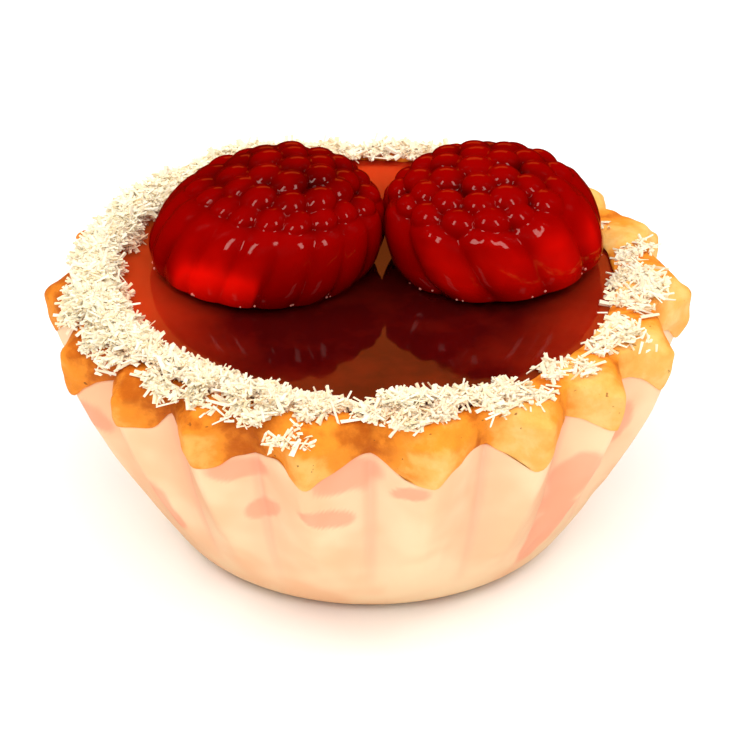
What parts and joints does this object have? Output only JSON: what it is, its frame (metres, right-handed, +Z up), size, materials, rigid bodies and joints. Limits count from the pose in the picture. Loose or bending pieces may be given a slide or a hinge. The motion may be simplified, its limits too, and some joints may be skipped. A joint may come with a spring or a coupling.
{
  "type": "raspberry jelly tartlet in a paper case",
  "caption": "Small fluted shortcrust tartlet filled with red jelly, topped with moulded jelly raspberries and shredded coconut, in its pleated paper case.",
  "frame": {"origin": "middle of the flat bottom that the tartlet stands on", "axes": "+Z up through the middle of the tartlet; the front faces -Y, with the raspberries towards the back"},
  "size_m": [0.0712, 0.0699, 0.0422],
  "materials": {
    "paper": "matt baking paper with pale coral blotches and soft pleats",
    "pastry": "matt golden-brown shortcrust, darker in the hollows and specked",
    "jelly": "wet, mirror-smooth, clear red jelly",
    "berry": "glossy, translucent deep red jelly",
    "coconut": "dry white shreds"
  },
  "bodies": {
    "root": {"paper_case": "paper", "pastry_shell": "pastry", "jelly_filling": "jelly", "raspberry_left": "berry", "raspberry_right": "berry"}
  },
  "joints": []
}
